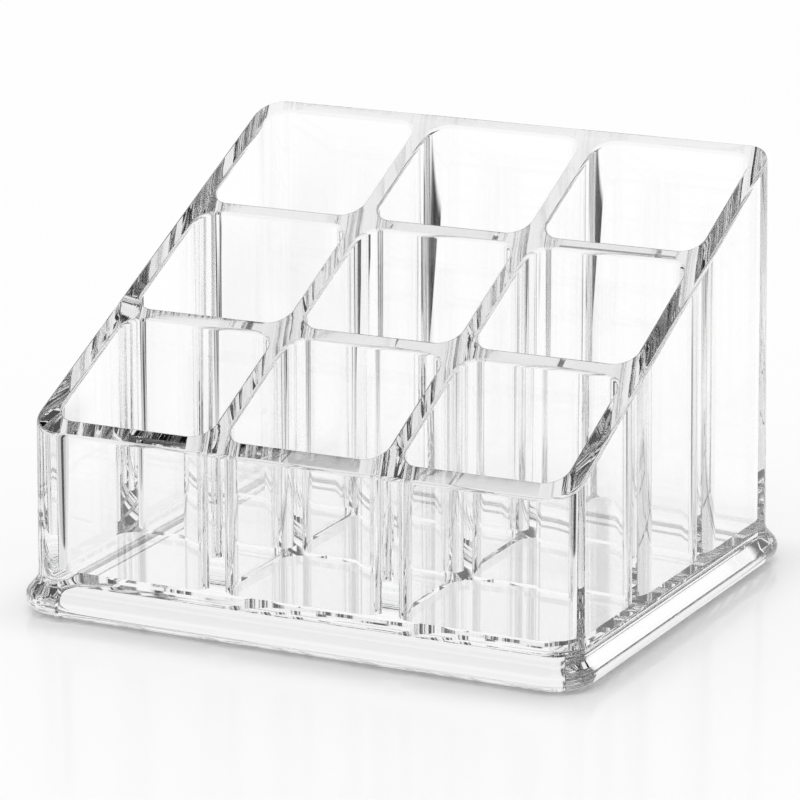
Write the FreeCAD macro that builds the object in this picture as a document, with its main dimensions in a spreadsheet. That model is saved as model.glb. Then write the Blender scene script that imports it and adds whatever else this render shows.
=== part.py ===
"""Vanity organizer: nine open compartments in clear plastic on a flared base skirt.

Frame: millimetres, +Z up, +X to the right and +Y to the back as seen from the front.
The origin is the centre of the footprint, on the surface that the organizer stands on.
"""
import FreeCAD, Part
import math
import os
import Sketcher
from FreeCAD import Vector

doc = FreeCAD.newDocument("VanityOrganizer")

# Driving dimensions
# The deck is the level of the compartment floors and of the skirt's top. The walls are measured
# there, and thin above it as their outer faces lean in.
DIMENSIONS = {
    "foot_width": 101.7,
    "foot_depth": 87.4,
    "deck_height": 7.8,
    "front_height": 32.2,
    "rim_slope_deg": 25.8,
    "outer_corner": 5.6,
    "outer_draft_deg": 0.73,
    "side_wall": 4.0,
    "front_wall": 4.0,
    "back_wall": 3.6,
    "long_divider": 3.2,
    "cross_divider": 2.8,
    "pocket_corner": 3.6,
    "rim_bevel": 0.6,
    "floor_thickness": 3.2,
    "skirt_band": 4.2,
    "skirt_flare": 2.23,
    "skirt_land": 0.65,
    "skirt_slope_deg": 42.0,
    "cove_radius": 2.65,
    "bead_lift": 0.55,
    "foot_step": 0.8,
    "overrun": 5.0,
}
COLUMNS = 3
ROWS = 3
SAME_PLANE = 1e-4

# Sizes that follow from the driving ones
# Stub planes pass through the centres of the compartments' corner arcs, where the rounded
# corners run out into flat walls at every height.
DERIVED = {
    "cell_width": f"(foot_width - 2 * side_wall - {COLUMNS - 1} * long_divider) / {COLUMNS}",
    "cell_depth": f"(foot_depth - front_wall - back_wall - {ROWS - 1} * cross_divider) / {ROWS}",
    "column_pitch": "cell_width + long_divider",
    "row_pitch": "cell_depth + cross_divider",
    "column_span": f"{COLUMNS - 1} * column_pitch",
    "row_span": f"{ROWS - 1} * row_pitch",
    "first_cell_x": "side_wall + cell_width / 2 - foot_width / 2",
    "first_cell_y": "front_wall + cell_depth / 2 - foot_depth / 2",
    "middle_row_y": "first_cell_y + row_pitch",
    "rim_tangent": "tan(rim_slope_deg * 1 deg)",
    "back_height": "front_height + foot_depth * rim_tangent",
    "block_height": "back_height - deck_height",
    "cut_front_y": "-foot_depth / 2 - overrun",
    "cut_back_y": "foot_depth / 2 + overrun",
    "cut_front_z": "front_height - overrun * rim_tangent",
    "cut_back_z": "back_height + overrun * rim_tangent",
    "left_end": "-foot_width / 2 - overrun",
    "left_stub": "side_wall + pocket_corner - foot_width / 2",
    "left_divider_start": "-(column_pitch + long_divider) / 2 - pocket_corner",
    "left_divider_end": "-(column_pitch - long_divider) / 2 + pocket_corner",
    "right_divider_start": "-left_divider_end",
    "right_divider_end": "-left_divider_start",
    "right_stub": "-left_stub",
    "right_end": "-left_end",
    "front_stub": "front_wall + pocket_corner - foot_depth / 2",
    "back_stub": "foot_depth / 2 - back_wall - pocket_corner",
    "floor_width": "foot_width - 2 * skirt_band",
    "floor_depth": "foot_depth - 2 * skirt_band",
    "floor_corner": "outer_corner - skirt_band",
    "slope_sine": "sin(skirt_slope_deg * 1 deg)",
    "slope_cosine": "cos(skirt_slope_deg * 1 deg)",
    "cove_top": "deck_height - skirt_land",
    "slope_reach": "(cove_top - bead_lift) * slope_sine - cove_radius * (1 - slope_cosine)",
    "bead_radius": "(slope_reach - skirt_flare * slope_cosine) / (1 + slope_sine - slope_cosine)",
    "skirt_inner_x": "foot_width / 2 - skirt_band",
    "skirt_outer_x": "foot_width / 2",
    "foot_outer_x": "skirt_outer_x + skirt_flare - bead_radius - foot_step",
}

sheet = doc.addObject("Spreadsheet::Sheet", "Dimensions")
cells = [(alias, str(value)) for alias, value in DIMENSIONS.items()]
cells += [(alias, "=" + formula) for alias, formula in DERIVED.items()]
for row, (alias, content) in enumerate(cells, start=1):
    sheet.set(f"A{row}", alias)
    sheet.set(f"B{row}", content)
    sheet.setAlias(f"B{row}", alias)
doc.recompute()


def size(alias):
    """Present value of a named size."""
    return float(sheet.get(alias))


def tie(target, prop, alias):
    """Binds a property to a named size."""
    target.setExpression(prop, f"Dimensions.{alias}")


def new_body(label):
    """Empty body whose label names its piece."""
    body = doc.addObject("PartDesign::Body", label)
    body.Label = label
    return body


def new_sketch(body, name, role, **offsets):
    """Sketch on one of the body's origin planes, shifted along its axes by named sizes."""
    sketch = body.newObject("Sketcher::SketchObject", name)
    plane = next(plane for plane in body.Origin.OriginFeatures if plane.Role == role)
    sketch.AttachmentSupport = (plane, [""])
    sketch.MapMode = "FlatFace"
    for axis, alias in offsets.items():
        tie(sketch, f"AttachmentOffset.Base.{axis}", alias)
    return sketch


def dimension(sketch, kind, places, alias):
    """Adds a dimension to a sketch and ties it to a named size."""
    index = sketch.addConstraint(Sketcher.Constraint(kind, *places, size(alias)))
    tie(sketch, f"Constraints[{index}]", alias)


def rounded_rectangle(sketch, width, depth, radius):
    """Closed rounded rectangle about the sketch's origin, from three named sizes."""
    half_width, half_depth, corner = size(width) / 2, size(depth) / 2, size(radius)
    reach_x, reach_y = half_width - corner, half_depth - corner
    straight = [
        (Vector(-reach_x, -half_depth), Vector(reach_x, -half_depth)),
        (Vector(half_width, -reach_y), Vector(half_width, reach_y)),
        (Vector(reach_x, half_depth), Vector(-reach_x, half_depth)),
        (Vector(-half_width, reach_y), Vector(-half_width, -reach_y)),
    ]
    centres = [
        Vector(reach_x, -reach_y),
        Vector(reach_x, reach_y),
        Vector(-reach_x, reach_y),
        Vector(-reach_x, -reach_y),
    ]
    quarter = math.pi / 2
    lines = []
    arcs = []
    for turn, (start, end) in enumerate(straight):
        circle = Part.Circle(centres[turn], Vector(0, 0, 1), corner)
        first = (turn - 1) * quarter
        lines.append(sketch.addGeometry(Part.LineSegment(start, end)))
        arcs.append(sketch.addGeometry(Part.ArcOfCircle(circle, first, first + quarter)))
    for turn, line in enumerate(lines):
        after = lines[(turn + 1) % len(lines)]
        sketch.addConstraint(Sketcher.Constraint("Tangent", line, 2, arcs[turn], 1))
        sketch.addConstraint(Sketcher.Constraint("Tangent", arcs[turn], 2, after, 1))
        sketch.addConstraint(Sketcher.Constraint("Vertical" if turn % 2 else "Horizontal", line))
    for arc in arcs[1:]:
        sketch.addConstraint(Sketcher.Constraint("Equal", arcs[0], arc))
    sketch.addConstraint(Sketcher.Constraint("Symmetric", arcs[0], 3, arcs[2], 3, -1, 1))
    dimension(sketch, "Radius", (arcs[0],), radius)
    dimension(sketch, "DistanceX", (lines[3], 1, lines[1], 1), width)
    dimension(sketch, "DistanceY", (lines[0], 1, lines[2], 1), depth)


def polygon(sketch, corners):
    """Closed outline through corners given as pairs of named sizes."""
    points = [Vector(size(x), size(y)) for x, y in corners]
    lines = [
        sketch.addGeometry(Part.LineSegment(start, end))
        for start, end in zip(points, points[1:] + points[:1])
    ]
    for turn, line in enumerate(lines):
        after = lines[(turn + 1) % len(lines)]
        sketch.addConstraint(Sketcher.Constraint("Coincident", line, 2, after, 1))
        dimension(sketch, "DistanceX", (-1, 1, line, 1), corners[turn][0])
        dimension(sketch, "DistanceY", (-1, 1, line, 1), corners[turn][1])


def drafted_block(body):
    """Solid block of the walls' outer form, leaning in with the outer draft."""
    outline = new_sketch(body, "FootOutline", "XY_Plane", z="deck_height")
    rounded_rectangle(outline, "foot_width", "foot_depth", "outer_corner")
    block = body.newObject("PartDesign::Pad", "Block")
    block.Profile = outline
    tie(block, "Length", "block_height")
    block.setExpression("TaperAngle", "-Dimensions.outer_draft_deg")
    doc.recompute()


def slanted_top(body):
    """Cuts the block along the rim plane, which rises from front to back."""
    profile = new_sketch(body, "RimCutProfile", "YZ_Plane")
    polygon(profile, [
        ("cut_front_y", "cut_front_z"),
        ("cut_back_y", "cut_back_z"),
        ("cut_front_y", "cut_back_z"),
    ])
    cut = body.newObject("PartDesign::Pocket", "RimCut")
    cut.Profile = profile
    cut.Type = "ThroughAll"
    cut.Midplane = True
    doc.recompute()


def compartments(body):
    """Cuts the grid of compartments, open upward from the deck."""
    outline = new_sketch(
        body, "CompartmentOutline", "XY_Plane", x="first_cell_x", y="first_cell_y", z="deck_height"
    )
    rounded_rectangle(outline, "cell_width", "cell_depth", "pocket_corner")
    pocket = body.newObject("PartDesign::Pocket", "Compartment")
    pocket.Profile = outline
    pocket.Reversed = True
    tie(pocket, "Length", "block_height")
    grid = body.newObject("PartDesign::MultiTransform", "CompartmentGrid")
    grid.Originals = [pocket]
    steps = []
    for axis, count, span in (("H_Axis", COLUMNS, "column_span"), ("V_Axis", ROWS, "row_span")):
        pattern = body.newObject("PartDesign::LinearPattern", f"Step{axis[0]}")
        pattern.Direction = (outline, [axis])
        pattern.Occurrences = count
        tie(pattern, "Length", span)
        steps.append(pattern)
    grid.Transformations = steps
    body.Tip = grid
    doc.recompute()
    return grid


def eased_rim(body, grid):
    """Bevels every edge that lies in the rim plane."""
    slope = math.radians(size("rim_slope_deg"))
    normal = Vector(0, -math.sin(slope), math.cos(slope))
    level = normal.dot(Vector(0, -size("foot_depth") / 2, size("front_height")))
    names = [
        f"Edge{index}"
        for index, edge in enumerate(grid.Shape.Edges, start=1)
        if all(abs(normal.dot(vertex.Point) - level) < SAME_PLANE for vertex in edge.Vertexes)
    ]
    bevel = body.newObject("PartDesign::Chamfer", "RimBevel")
    bevel.Base = (grid, names)
    tie(bevel, "Size", "rim_bevel")
    body.Tip = bevel
    doc.recompute()


def share_of_moulding(label, x_range, y_range):
    """Piece of the moulding that lies between two planes across X and two across Y."""
    zone = doc.addObject("Part::Box", f"{label}_zone")
    for prop, axis, (start, end) in (("Length", "x", x_range), ("Width", "y", y_range)):
        zone.setExpression(prop, f"Dimensions.{end} - Dimensions.{start}")
        tie(zone, f"Placement.Base.{axis}", start)
    tie(zone, "Height", "cut_back_z")
    piece = doc.addObject("Part::Common", label)
    piece.Label = label
    piece.Base = moulding
    piece.Tool = zone
    return piece


def floor_plate():
    """Plate that closes the inside of the skirt at the deck."""
    body = new_body("floor_plate")
    outline = new_sketch(body, "FloorOutline", "XY_Plane", z="deck_height")
    rounded_rectangle(outline, "floor_width", "floor_depth", "floor_corner")
    plate = body.newObject("PartDesign::Pad", "Plate")
    plate.Profile = outline
    plate.Reversed = True
    tie(plate, "Length", "floor_thickness")
    return body


def skirt_profile(sketch):
    """Section of the skirt: top, land, cove, slope, bead, step, flat foot and inner face."""
    inner, outer, flare = size("skirt_inner_x"), size("skirt_outer_x"), size("skirt_flare")
    lift, foot_outer = size("bead_lift"), size("foot_outer_x")
    cove, bead = size("cove_radius"), size("bead_radius")
    slope = math.radians(size("skirt_slope_deg"))
    half_turn = math.pi
    cove_centre = Vector(outer + cove, size("cove_top"))
    bead_centre = Vector(outer + flare - bead, lift + bead)
    top_inner = Vector(inner, size("deck_height"))
    top_outer = Vector(outer, size("deck_height"))
    cove_start = Vector(outer, cove_centre.y)
    cove_end = cove_centre - Vector(math.cos(slope), math.sin(slope)) * cove
    bead_start = bead_centre + Vector(math.cos(slope), math.sin(slope)) * bead
    bead_end = Vector(bead_centre.x, lift)
    step_top = Vector(foot_outer, lift)
    bottom_outer = Vector(foot_outer, 0)
    bottom_inner = Vector(inner, 0)
    up = Vector(0, 0, 1)
    cove_arc = Part.ArcOfCircle(Part.Circle(cove_centre, up, cove), half_turn, half_turn + slope)
    bead_arc = Part.ArcOfCircle(Part.Circle(bead_centre, up, bead), -half_turn / 2, slope)
    top = sketch.addGeometry(Part.LineSegment(top_inner, top_outer))
    land = sketch.addGeometry(Part.LineSegment(top_outer, cove_start))
    cove_line = sketch.addGeometry(cove_arc)
    flank = sketch.addGeometry(Part.LineSegment(cove_end, bead_start))
    bead_line = sketch.addGeometry(bead_arc)
    underside = sketch.addGeometry(Part.LineSegment(bead_end, step_top))
    step = sketch.addGeometry(Part.LineSegment(step_top, bottom_outer))
    foot = sketch.addGeometry(Part.LineSegment(bottom_outer, bottom_inner))
    inside = sketch.addGeometry(Part.LineSegment(bottom_inner, top_inner))
    for kind, places in (
        ("Coincident", (top, 2, land, 1)),
        ("Tangent", (land, 2, cove_line, 1)),
        ("Tangent", (cove_line, 2, flank, 1)),
        ("Tangent", (flank, 2, bead_line, 2)),
        ("Tangent", (bead_line, 1, underside, 1)),
        ("Coincident", (underside, 2, step, 1)),
        ("Coincident", (step, 2, foot, 1)),
        ("Coincident", (foot, 2, inside, 1)),
        ("Coincident", (inside, 2, top, 1)),
        ("Horizontal", (top,)),
        ("Vertical", (land,)),
        ("Horizontal", (underside,)),
        ("Vertical", (step,)),
        ("Horizontal", (foot,)),
        ("Vertical", (inside,)),
        ("PointOnObject", (foot, 2, -1)),
    ):
        sketch.addConstraint(Sketcher.Constraint(kind, *places))
    dimension(sketch, "Radius", (cove_line,), "cove_radius")
    dimension(sketch, "Radius", (bead_line,), "bead_radius")
    dimension(sketch, "DistanceX", (-1, 1, top, 1), "skirt_inner_x")
    dimension(sketch, "DistanceX", (-1, 1, top, 2), "skirt_outer_x")
    dimension(sketch, "DistanceY", (-1, 1, top, 1), "deck_height")
    dimension(sketch, "DistanceY", (land, 2, land, 1), "skirt_land")
    dimension(sketch, "DistanceY", (step, 2, step, 1), "bead_lift")
    dimension(sketch, "DistanceX", (-1, 1, foot, 1), "foot_outer_x")


def base_skirt():
    """Plinth ring: its section swept round the foot outline."""
    body = new_body("base_skirt")
    path = new_sketch(body, "SkirtPath", "XY_Plane")
    rounded_rectangle(path, "foot_width", "foot_depth", "outer_corner")
    profile = new_sketch(body, "SkirtProfile", "XZ_Plane")
    skirt_profile(profile)
    doc.recompute()
    ring = body.newObject("PartDesign::AdditivePipe", "SkirtRing")
    ring.Profile = profile
    ring.Spine = (path, [f"Edge{index}" for index in range(1, path.GeometryCount + 1)])
    return body


moulding = new_body("moulding")
drafted_block(moulding)
slanted_top(moulding)
eased_rim(moulding, compartments(moulding))

depth_inside = ("front_stub", "back_stub")
columns = {
    "left": ("left_stub", "left_divider_start"),
    "middle": ("left_divider_end", "right_divider_start"),
    "right": ("right_divider_end", "right_stub"),
}
rows = {"front": ("front_stub", "middle_row_y"), "rear": ("middle_row_y", "back_stub")}
pieces = [
    share_of_moulding("left_wall", ("left_end", "left_stub"), ("cut_front_y", "cut_back_y")),
    share_of_moulding("right_wall", ("right_stub", "right_end"), ("cut_front_y", "cut_back_y")),
    share_of_moulding("front_wall", ("left_stub", "right_stub"), ("cut_front_y", "front_stub")),
    share_of_moulding("back_wall", ("left_stub", "right_stub"), ("back_stub", "cut_back_y")),
    share_of_moulding("long_divider_left", ("left_divider_start", "left_divider_end"), depth_inside),
    share_of_moulding("long_divider_right", ("right_divider_start", "right_divider_end"), depth_inside),
]
for row, y_range in rows.items():
    for column, x_range in columns.items():
        pieces.append(share_of_moulding(f"cross_panel_{row}_{column}", x_range, y_range))
pieces.append(floor_plate())
pieces.append(base_skirt())
doc.recompute()

for item in doc.Objects:
    if {"Invalid", "Error"} & set(item.State):
        raise RuntimeError(f"{item.Label} did not build: {item.State}")
for piece in pieces:
    if piece.Shape.isNull() or not piece.Shape.isValid() or len(piece.Shape.Solids) != 1:
        raise RuntimeError(f"{piece.Label} is not one valid solid")

os.makedirs("parts", exist_ok=True)
for piece in pieces:
    piece.Shape.exportStep(f"parts/{piece.Label}.step")
    print(f"{piece.Label}: {piece.Shape.Volume:.1f} mm3")
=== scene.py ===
import math

import bmesh
import bpy
from mathutils import Matrix, Vector


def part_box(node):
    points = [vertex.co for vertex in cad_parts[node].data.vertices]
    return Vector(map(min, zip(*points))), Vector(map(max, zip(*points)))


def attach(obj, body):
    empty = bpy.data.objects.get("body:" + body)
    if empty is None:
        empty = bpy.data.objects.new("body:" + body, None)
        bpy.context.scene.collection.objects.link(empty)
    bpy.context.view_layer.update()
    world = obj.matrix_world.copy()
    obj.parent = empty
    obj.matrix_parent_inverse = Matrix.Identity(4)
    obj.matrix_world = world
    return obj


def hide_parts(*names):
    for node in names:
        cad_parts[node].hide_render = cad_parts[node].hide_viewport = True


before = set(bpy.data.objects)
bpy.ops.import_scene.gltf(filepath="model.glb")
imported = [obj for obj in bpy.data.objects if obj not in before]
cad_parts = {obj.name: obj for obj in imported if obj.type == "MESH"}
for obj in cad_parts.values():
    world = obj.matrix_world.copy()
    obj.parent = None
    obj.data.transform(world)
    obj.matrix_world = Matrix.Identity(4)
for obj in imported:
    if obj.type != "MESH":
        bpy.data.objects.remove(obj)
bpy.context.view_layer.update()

MM = 0.001

# Sizes of the moulding, in metres. The plan and the base are read from the frame.
POCKET_CORNER = 3.6 * MM
OUTER_CORNER = 5.6 * MM
FRONT_HEIGHT = 32.2 * MM
RIM_SLOPE = math.tan(math.radians(25.8))
OUTER_DRAFT = math.tan(math.radians(0.73))
RIM_ROUND = 0.8 * MM
SKIRT_LAND = 0.65 * MM
SKIRT_SLOPE = math.radians(42.0)
COVE_RADIUS = 2.65 * MM
BEAD_LIFT = 0.55 * MM
FOOT_STEP = 0.8 * MM

FOOT_HALF = Vector((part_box("right_wall")[1].x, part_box("back_wall")[1].y))
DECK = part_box("floor_plate")[1].z
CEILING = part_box("floor_plate")[0].z
SKIRT_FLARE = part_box("base_skirt")[1].x - FOOT_HALF.x
SKIRT_BAND = FOOT_HALF.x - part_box("floor_plate")[1].x
SIDE_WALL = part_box("left_wall")[1].x + FOOT_HALF.x - POCKET_CORNER
FRONT_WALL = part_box("front_wall")[1].y + FOOT_HALF.y - POCKET_CORNER
BACK_WALL = FOOT_HALF.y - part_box("back_wall")[0].y - POCKET_CORNER
DIVIDER_LOW, DIVIDER_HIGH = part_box("long_divider_left")
LONG_DIVIDER = DIVIDER_HIGH.x - DIVIDER_LOW.x - 2 * POCKET_CORNER
PANEL_LOW, PANEL_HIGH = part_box("cross_panel_front_left")
CROSS_PANEL = PANEL_HIGH.y - PANEL_LOW.y

COLUMNS = 3
ROWS = 3
CELL_WIDTH = (2 * FOOT_HALF.x - 2 * SIDE_WALL - (COLUMNS - 1) * LONG_DIVIDER) / COLUMNS
CELL_DEPTH = (2 * FOOT_HALF.y - FRONT_WALL - BACK_WALL - (ROWS - 1) * CROSS_PANEL) / ROWS

# Steps of the rounded forms, the angle from which an edge is shaded sharp, and how far large flat
# walls lead the shading beside them
CORNER_STEPS = 14
RIM_STEPS = 4
BEAD_STEPS = 16
COVE_STEPS = 8
SHARP = math.radians(40)
FLAT_WALL_WEIGHT = 100

# Clear plastic: refractive index, flow waviness of the skin, and the grey that shows in depth
PLASTIC_INDEX = 1.52
FLOW_SCALE = 90
FLOW_DETAIL = 1
WAVE_STRENGTH = 0.05
WAVE_HEIGHT = 0.06 * MM
DEPTH_COLOUR = (0.70, 0.72, 0.72, 1)
DEPTH_DENSITY = 1.5

# Tabletop. The last two are ramps over the distance from the foot, as start, end and the levels
# there: how bright the clear plastic sees it, a painted shade under and around the foot, and how
# much of its white glow the camera sees, less near the foot, where the real shadow shows and the
# floor is painted darker as well.
FLOOR_HALF = 3
FLOOR_DROP = 0.05 * MM
FLOOR_COLOUR = (0.97, 0.97, 0.97, 1)
FLOOR_ROUGHNESS = 0.12
FOOT_SHADE_PAINTED = (15 * MM, 45 * MM, 0.92, 1.0)
FOOT_SHADOW_PAINTED = (0, 14 * MM, 0.2, 0.7)

# Painted dark patches in the tabletop's glow, seen only in the plastic's reflections and
# refractions, standing in for grey cards beside the part; each with its strength. A patch lies
# inside its soft edges, given as shares of the places to the right of the view and away from it,
# start and width in millimetres.
LEFT_INNER = (-1, 0.07, 92, 6)
LEFT_FRONT = (-0.75, 1, 35, 30)
LEFT_BACK = (0, -1, -290, 30)
LEFT_OUTER = (1, 0, -270, 90)
RIGHT_BACK = (0.75, -1, 65, 30)
RIGHT_OUTER = (-1, 0, -270, 90)
PAINTED_PATCHES = {
    "left behind": (0.98, (LEFT_INNER, (0.5, 1, 47, 20), LEFT_BACK, LEFT_OUTER)),
    "left in front": (0.98, (LEFT_INNER, (-0.5, -1, 39, 20), LEFT_FRONT, LEFT_OUTER)),
    "left beside": (0.45, (LEFT_INNER, LEFT_FRONT, LEFT_BACK, LEFT_OUTER)),
    "left close": (0.2, ((-1, 0.07, 70, 6), LEFT_FRONT, (0, -1, -130, 30), LEFT_OUTER)),
    "right": (0.98, ((1, 0.345, 76, 6), RIGHT_BACK, (0, 1, -230, 30), RIGHT_OUTER)),
    "right close": (0.2, ((1, 0, 67, 6), RIGHT_BACK, (0, 1, -160, 30), RIGHT_OUTER)),
}

# Light: the sky's share, the softbox, and what the clear plastic sees of the sky, which is a bright
# backdrop behind the part and a bright horizon, as ramps over the direction, and dim elsewhere
SKY_LIGHT = 0.75
DIM_SKY = 0.08
BACKDROP = (0.66, 0.82, DIM_SKY, 1.0)
HORIZON = (0.1, 0.2, 1.0, DIM_SKY)
SOFTBOX_SPREAD = math.radians(50)
SOFTBOX_TILT = math.radians(25)
CLEAR_BOUNCES = 48
GLOSSY_BOUNCES = 24

# Camera at the photograph's place, fitted to the rim, wall and base lines
AZIMUTH = math.radians(26.379)
ELEVATION = math.radians(14.923)
ROLL = math.radians(-0.128)
CAMERA_PLACE = (333.88 * MM, -676.27 * MM, 234.07 * MM)
CAMERA_LENS = 204.24
SENSOR_WIDTH = 36


def rim_height(y):
    """Height of the slanted rim plane above a place in the depth."""
    return FRONT_HEIGHT + (y + FOOT_HALF.y) * RIM_SLOPE


def rounded_plate(mesh, centre, half, corner):
    """Flat rounded rectangle: a quad with its four corners bevelled."""
    place = Matrix.Translation(centre) @ Matrix.Diagonal((half.x, half.y, 1, 1))
    quad = bmesh.ops.create_grid(mesh, x_segments=1, y_segments=1, size=1, matrix=place)
    rounded = bmesh.ops.bevel(
        mesh, geom=quad["verts"], affect="VERTICES", offset=corner, segments=CORNER_STEPS,
        profile=0.5, material=-1,
    )
    return rounded["verts"][0].link_faces[0]


def core_point(point, centre, core):
    """Point of a rounded outline's inner rectangle that lies nearest to a point."""
    return Vector((
        min(max(point.x, centre.x - core.x), centre.x + core.x),
        min(max(point.y, centre.y - core.y), centre.y + core.y),
        point.z,
    ))


def draw_out(mesh, edges, move):
    """Extrudes a loop of edges, puts each new vertex where move says, and returns the new loop."""
    made = bmesh.ops.extrude_edge_only(mesh, edges=edges)["geom"]
    for vertex in (item for item in made if isinstance(item, bmesh.types.BMVert)):
        vertex.co = move(vertex.co.copy())
    return [item for item in made if isinstance(item, bmesh.types.BMEdge) and item.is_boundary]


def skirt_ring(mesh, edges, core, offset, height):
    """Next ring of the skirt: the foot outline, offset outward, at a height."""
    def move(point):
        inner = core_point(point, Vector(), core)
        ring = inner + (point - inner).normalized() * (OUTER_CORNER + offset)
        return Vector((ring.x, ring.y, height))
    return draw_out(mesh, edges, move)


def wall_to_rim(mesh, edges, centre, core, lean):
    """Draws a loop at the deck up to the rim plane, leaning across its outline."""
    def move(point):
        across = (point - core_point(point, centre, core)).normalized()
        tilt = across.y * lean * RIM_SLOPE
        point.z = (rim_height(point.y) - tilt * DECK) / (1 - tilt)
        return point + across * lean * (point.z - DECK)
    return draw_out(mesh, edges, move)


def skirt_section():
    """Points of the skirt's section from the inside out, as offset from the foot and height."""
    sine, cosine = math.sin(SKIRT_SLOPE), math.cos(SKIRT_SLOPE)
    cove_top = DECK - SKIRT_LAND
    reach = (cove_top - BEAD_LIFT) * sine - COVE_RADIUS * (1 - cosine)
    bead = (reach - SKIRT_FLARE * cosine) / (1 + sine - cosine)
    foot = SKIRT_FLARE - bead - FOOT_STEP
    section = [(-SKIRT_BAND, 0.0), (foot, 0.0), (foot, BEAD_LIFT)]
    for step in range(BEAD_STEPS + 1):
        turn = (math.pi / 2 + SKIRT_SLOPE) * step / BEAD_STEPS - math.pi / 2
        section.append((
            SKIRT_FLARE - bead + bead * math.cos(turn), BEAD_LIFT + bead + bead * math.sin(turn)
        ))
    for step in range(COVE_STEPS + 1):
        turn = math.pi + SKIRT_SLOPE * (1 - step / COVE_STEPS)
        section.append((
            COVE_RADIUS + COVE_RADIUS * math.cos(turn), cove_top + COVE_RADIUS * math.sin(turn)
        ))
    section.append((0.0, DECK))
    return section


def moulding_mesh():
    """The whole clear moulding as one closed skin: base, walls, nine compartments and rim."""
    mesh = bmesh.new()
    inside = Vector((SKIRT_BAND, SKIRT_BAND))
    core = FOOT_HALF - Vector((OUTER_CORNER, OUTER_CORNER))
    ceiling = rounded_plate(
        mesh, Vector((0, 0, CEILING)), FOOT_HALF - inside, OUTER_CORNER - SKIRT_BAND
    )
    loop = list(ceiling.edges)
    for offset, height in skirt_section():
        loop = skirt_ring(mesh, loop, core, offset, height)
    rim = wall_to_rim(mesh, loop, Vector(), core, -OUTER_DRAFT)

    cell = Vector((CELL_WIDTH, CELL_DEPTH)) / 2
    cell_core = cell - Vector((POCKET_CORNER, POCKET_CORNER))
    for column in range(COLUMNS):
        for row in range(ROWS):
            centre = Vector((
                SIDE_WALL - FOOT_HALF.x + CELL_WIDTH / 2 + column * (CELL_WIDTH + LONG_DIVIDER),
                FRONT_WALL - FOOT_HALF.y + CELL_DEPTH / 2 + row * (CELL_DEPTH + CROSS_PANEL),
                DECK,
            ))
            cell_floor = rounded_plate(mesh, centre, cell, POCKET_CORNER)
            rim += wall_to_rim(mesh, list(cell_floor.edges), centre, cell_core, 0)
    across_rim = Vector((0, -RIM_SLOPE, 1)).normalized()
    bmesh.ops.triangle_fill(
        mesh, use_beauty=True, use_dissolve=False, edges=rim, normal=across_rim
    )
    bmesh.ops.recalc_face_normals(mesh, faces=mesh.faces)
    bmesh.ops.bevel(
        mesh, geom=rim, affect="EDGES", offset=RIM_ROUND, segments=RIM_STEPS, profile=0.5,
        material=-1, loop_slide=False, clamp_overlap=True,
    )
    for face in mesh.faces:
        face.smooth = True
    for edge in mesh.edges:
        edge.smooth = edge.calc_face_angle(0) < SHARP
    return mesh


def new_piece(name, mesh, material):
    """Object at the origin that holds a finished mesh and its material."""
    data = bpy.data.meshes.new(name)
    mesh.to_mesh(data)
    mesh.free()
    data.materials.append(material)
    piece = bpy.data.objects.new(name, data)
    bpy.context.scene.collection.objects.link(piece)
    return piece


def math_node(tree, operation, first, second=None, clamp=False):
    """Math node whose inputs are sockets or numbers."""
    node = tree.nodes.new("ShaderNodeMath")
    node.operation = operation
    node.use_clamp = clamp
    for socket, value in zip(node.inputs, (first, second)):
        if isinstance(value, (int, float)):
            socket.default_value = value
        elif value is not None:
            tree.links.new(value, socket)
    return node.outputs[0]


def shared_sum(tree, first, first_share, second, second_share):
    """Sum of two values, each times its share."""
    return math_node(
        tree, "ADD",
        math_node(tree, "MULTIPLY", first, first_share),
        math_node(tree, "MULTIPLY", second, second_share),
    )


def ramp(tree, value, start, end, low, high):
    """Smooth step of a value from low to high."""
    node = tree.nodes.new("ShaderNodeMapRange")
    node.interpolation_type = "SMOOTHSTEP"
    for name, number in zip(("From Min", "From Max", "To Min", "To Max"), (start, end, low, high)):
        node.inputs[name].default_value = number
    tree.links.new(value, node.inputs["Value"])
    return node.outputs[0]


def place_parts(tree, kind):
    """The x, y and z of the texture coordinates of one kind."""
    place = tree.nodes.new("ShaderNodeTexCoord")
    split = tree.nodes.new("ShaderNodeSeparateXYZ")
    tree.links.new(place.outputs[kind], split.inputs[0])
    return split.outputs


def seen_ray(tree):
    """1 for camera rays, and 1 for rays that gloss or clear plastic sends on."""
    path = tree.nodes.new("ShaderNodeLightPath").outputs
    sent_on = math_node(
        tree, "ADD", path["Is Glossy Ray"], path["Is Transmission Ray"], clamp=True
    )
    return path["Is Camera Ray"], sent_on


def clear_plastic():
    """Water-clear polished plastic with a faint flow waviness, slightly grey in depth."""
    material = bpy.data.materials.new("clear_plastic")
    material.use_nodes = True
    nodes, links = material.node_tree.nodes, material.node_tree.links
    shader = nodes["Principled BSDF"]
    shader.inputs["Base Color"].default_value = (1, 1, 1, 1)
    shader.inputs["Roughness"].default_value = 0
    shader.inputs["Transmission Weight"].default_value = 1
    shader.inputs["IOR"].default_value = PLASTIC_INDEX
    place = nodes.new("ShaderNodeTexCoord")
    flow = nodes.new("ShaderNodeTexNoise")
    flow.inputs["Scale"].default_value = FLOW_SCALE
    flow.inputs["Detail"].default_value = FLOW_DETAIL
    links.new(place.outputs["Object"], flow.inputs["Vector"])
    waviness = nodes.new("ShaderNodeBump")
    waviness.inputs["Strength"].default_value = WAVE_STRENGTH
    waviness.inputs["Distance"].default_value = WAVE_HEIGHT
    links.new(flow.outputs[0], waviness.inputs["Height"])
    links.new(waviness.outputs[0], shader.inputs["Normal"])
    depth = nodes.new("ShaderNodeVolumeAbsorption")
    depth.inputs["Color"].default_value = DEPTH_COLOUR
    depth.inputs["Density"].default_value = DEPTH_DENSITY
    links.new(depth.outputs[0], nodes["Material Output"].inputs["Volume"])
    return material


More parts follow.
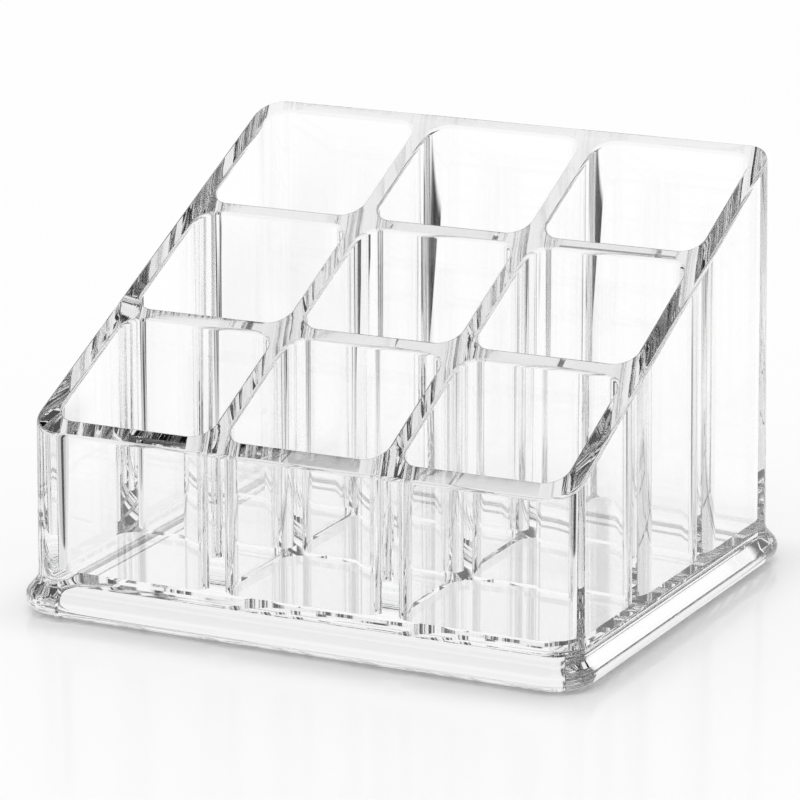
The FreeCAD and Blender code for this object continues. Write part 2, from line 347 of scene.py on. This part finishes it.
def painted_patch_level(tree, x, y):
    """Level of the tabletop's glow with painted dark patches on either side of the organizer."""
    sine, cosine = math.sin(AZIMUTH), math.cos(AZIMUTH)
    to_right = shared_sum(tree, x, cosine, y, sine)
    away = shared_sum(tree, y, cosine, x, -sine)
    patches = None
    for strength, edges in PAINTED_PATCHES.values():
        patch = strength
        for right_share, away_share, start, width in edges:
            across = shared_sum(tree, to_right, right_share, away, away_share)
            edge = ramp(tree, across, start * MM, (start + width) * MM, 0, 1)
            patch = math_node(tree, "MULTIPLY", edge, patch)
        patches = patch if patches is None else math_node(tree, "MAXIMUM", patches, patch)
    return math_node(tree, "SUBTRACT", 1, patches)


def distance_from_foot(tree, x, y):
    """Distance of a place on the tabletop from the organizer's foot, 0 under it."""
    beyond = []
    for along, half in zip((x, y), FOOT_HALF):
        past = math_node(tree, "SUBTRACT", math_node(tree, "ABSOLUTE", along), half)
        past = math_node(tree, "MAXIMUM", past, 0)
        beyond.append(math_node(tree, "MULTIPLY", past, past))
    return math_node(tree, "SQRT", math_node(tree, "ADD", *beyond))


def floor_white():
    """Pale glossy tabletop, white where it lies open, with the object's shadow and painted shade
    near the foot, and painted dark patches that only the plastic's reflections and refractions see.
    """
    material = bpy.data.materials.new("floor_white")
    material.use_nodes = True
    tree = material.node_tree
    nodes, links = tree.nodes, tree.links
    shader = nodes["Principled BSDF"]
    shader.inputs["Base Color"].default_value = FLOOR_COLOUR
    shader.inputs["Roughness"].default_value = FLOOR_ROUGHNESS
    x, y, _ = place_parts(tree, "Object")
    camera_ray, sent_on = seen_ray(tree)
    from_foot = distance_from_foot(tree, x, y)
    # Painted shade: the plastic sees the tabletop darker under and around the foot
    painted_foot_shade = ramp(tree, from_foot, *FOOT_SHADE_PAINTED)
    # Painted dark patches beside the part, seen only in the plastic's reflections and refractions
    level = math_node(tree, "MULTIPLY", painted_foot_shade, painted_patch_level(tree, x, y))
    level = math_node(tree, "MULTIPLY", sent_on, level)
    glow = nodes.new("ShaderNodeEmission")
    links.new(math_node(tree, "MAXIMUM", camera_ray, level), glow.inputs["Strength"])
    # Painted shadow: less white glow near the foot, so the real shadow shows and the floor is
    # darker there
    camera_share_painted_shadow = math_node(tree, "MULTIPLY", camera_ray, ramp(tree, from_foot, *FOOT_SHADOW_PAINTED))
    mix = nodes.new("ShaderNodeMixShader")
    links.new(math_node(tree, "ADD", camera_share_painted_shadow, sent_on), mix.inputs[0])
    links.new(shader.outputs[0], mix.inputs[1])
    links.new(glow.outputs[0], mix.inputs[2])
    links.new(mix.outputs[0], nodes["Material Output"].inputs["Surface"])
    return material


def studio_world():
    """White surroundings that light the part evenly and look dim where the plastic bends light."""
    world = bpy.data.worlds.new("studio")
    world.use_nodes = True
    tree = world.node_tree
    _, y, z = place_parts(tree, "Generated")
    sky = math_node(tree, "MAXIMUM", ramp(tree, y, *BACKDROP), ramp(tree, z, *HORIZON))
    camera_ray, sent_on = seen_ray(tree)
    plain = math_node(
        tree, "SUBTRACT", SKY_LIGHT, math_node(tree, "MULTIPLY", sent_on, SKY_LIGHT)
    )
    level = math_node(tree, "ADD", plain, math_node(tree, "MULTIPLY", sent_on, sky))
    background = tree.nodes["Background"].inputs
    background["Color"].default_value = (1, 1, 1, 1)
    tree.links.new(math_node(tree, "MAXIMUM", camera_ray, level), background["Strength"])
    return world


def soft_light():
    """Broad light from above that gives the part its soft shadow."""
    data = bpy.data.lights.new("softbox", "SUN")
    data.angle = SOFTBOX_SPREAD
    data.energy = (1 - SKY_LIGHT) * math.pi
    softbox = bpy.data.objects.new("softbox", data)
    softbox.rotation_euler = (SOFTBOX_TILT, 0, 0)
    softbox.visible_glossy = False
    softbox.visible_transmission = False
    return softbox


def photo_camera():
    """Camera with the photograph's place, direction and field of view."""
    data = bpy.data.cameras.new("camera")
    data.sensor_width = SENSOR_WIDTH
    data.lens = CAMERA_LENS
    camera = bpy.data.objects.new("camera", data)
    back = Vector((
        math.sin(AZIMUTH) * math.cos(ELEVATION),
        -math.cos(AZIMUTH) * math.cos(ELEVATION),
        math.sin(ELEVATION),
    ))
    sideways = Vector((math.cos(AZIMUTH), math.sin(AZIMUTH), 0))
    rise = back.cross(sideways)
    right = math.cos(ROLL) * sideways + math.sin(ROLL) * rise
    up = -math.sin(ROLL) * sideways + math.cos(ROLL) * rise
    turn = Matrix((right, up, back)).transposed().to_4x4()
    camera.matrix_world = Matrix.Translation(CAMERA_PLACE) @ turn
    return camera


organizer = new_piece("clear_moulding", moulding_mesh(), clear_plastic())
normals = organizer.modifiers.new("flat_walls", "WEIGHTED_NORMAL")
normals.weight = FLAT_WALL_WEIGHT
normals.keep_sharp = True
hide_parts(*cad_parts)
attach(organizer, "root")

floor_mesh = bmesh.new()
bmesh.ops.create_grid(
    floor_mesh, x_segments=1, y_segments=1, size=FLOOR_HALF,
    matrix=Matrix.Translation((0, 0, -FLOOR_DROP)),
)
floor = new_piece("floor", floor_mesh, floor_white())

scene = bpy.context.scene
scene.view_settings.view_transform = "Standard"
scene.cycles.max_bounces = CLEAR_BOUNCES
scene.cycles.transmission_bounces = CLEAR_BOUNCES
scene.cycles.glossy_bounces = GLOSSY_BOUNCES
scene.world = studio_world()
scene.collection.objects.link(soft_light())
scene.camera = photo_camera()
scene.collection.objects.link(scene.camera)
